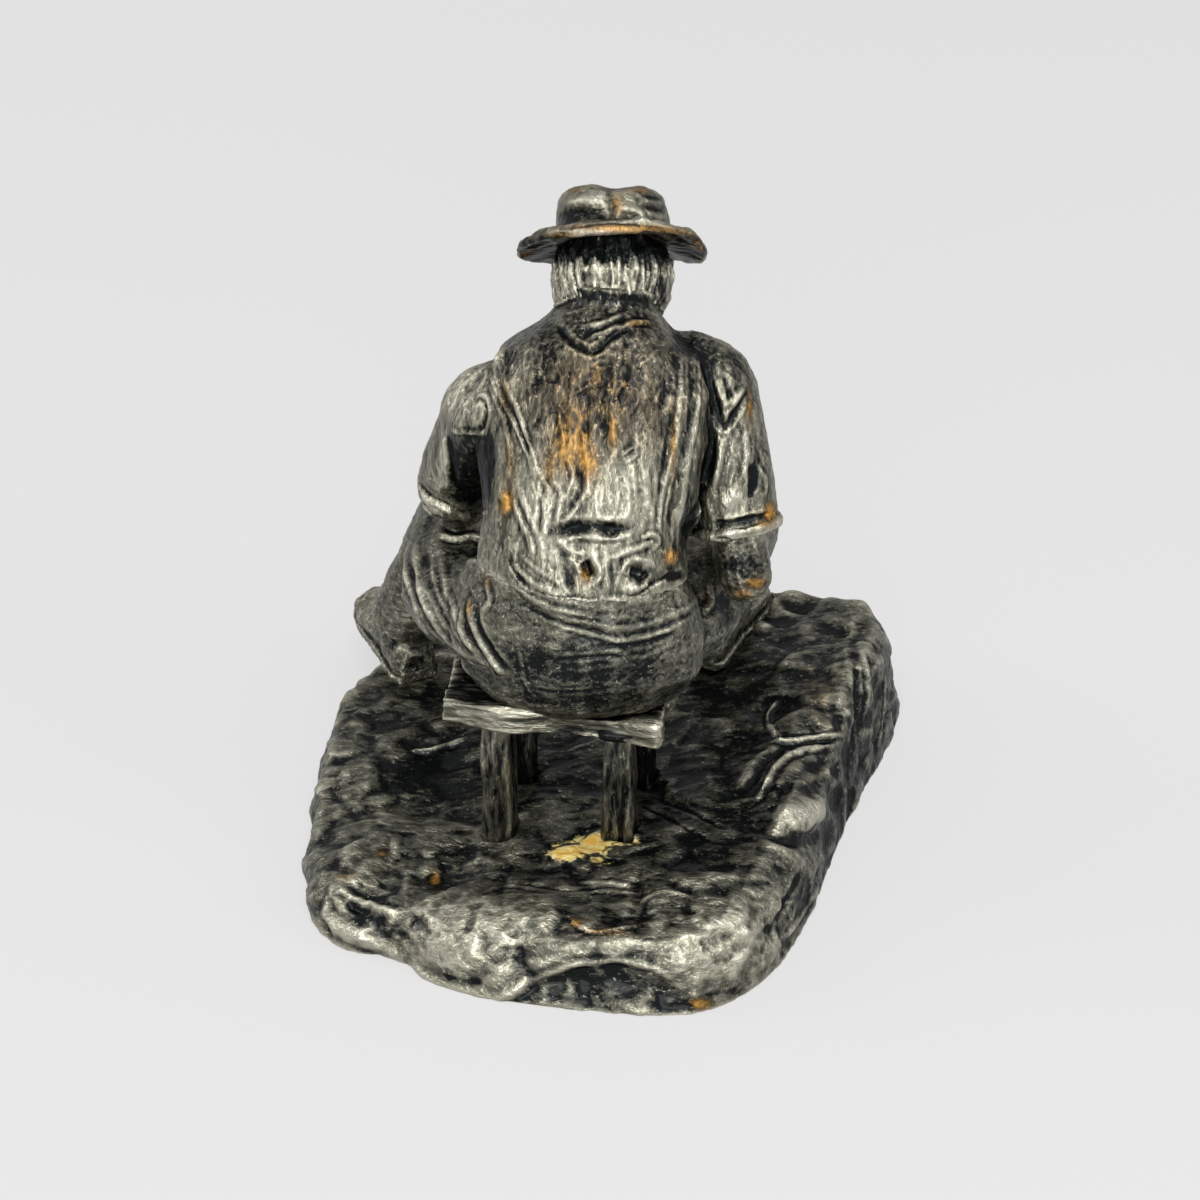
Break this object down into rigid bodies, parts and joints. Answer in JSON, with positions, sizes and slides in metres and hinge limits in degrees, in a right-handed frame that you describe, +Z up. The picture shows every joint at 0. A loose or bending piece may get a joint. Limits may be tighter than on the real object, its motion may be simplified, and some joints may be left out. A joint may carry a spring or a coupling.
{
  "type": "bronze figure sculpture",
  "caption": "Patinated bronze of a man in a brimmed hat seated on a low plank stool, on a hollow cast patch of rough ground; a free-standing ornament.",
  "frame": {"origin": "middle of the footprint's bounding rectangle, on the table plane", "axes": "+Z up from the table, +Y the way the man faces, +X to his right"},
  "size_m": [0.1329, 0.1441, 0.156],
  "materials": {
    "patinated_bronze": "dark brown patina, rubbed golden on the high points",
    "rubbed_bronze": "bare turned bronze",
    "bright_steel": "bright"
  },
  "bodies": {
    "root": {"ground_base": "patinated_bronze", "stool_seat": "patinated_bronze", "stool_leg_rear_left": "patinated_bronze", "stool_leg_rear_right": "patinated_bronze", "stool_leg_front_left": "patinated_bronze", "stool_leg_front_right": "patinated_bronze", "trouser_seat": "patinated_bronze", "left_trouser_leg": "patinated_bronze", "right_trouser_leg": "patinated_bronze", "left_boot": "patinated_bronze", "right_boot": "patinated_bronze", "waistcoat": "patinated_bronze", "left_sleeve": "patinated_bronze", "right_sleeve": "patinated_bronze", "left_forearm": "patinated_bronze", "right_forearm": "patinated_bronze", "head": "patinated_bronze", "hat": "patinated_bronze", "left_shoulder_dowel": "rubbed_bronze", "right_shoulder_dowel": "rubbed_bronze", "waist_dowel": "rubbed_bronze", "leg_screw_rear_left": "bright_steel", "leg_screw_rear_right": "bright_steel", "leg_screw_front_left": "bright_steel", "leg_screw_front_right": "bright_steel", "boot_screw_left": "bright_steel", "boot_screw_right": "bright_steel", "seat_screw_left": "bright_steel", "seat_screw_right": "bright_steel"}
  },
  "joints": []
}
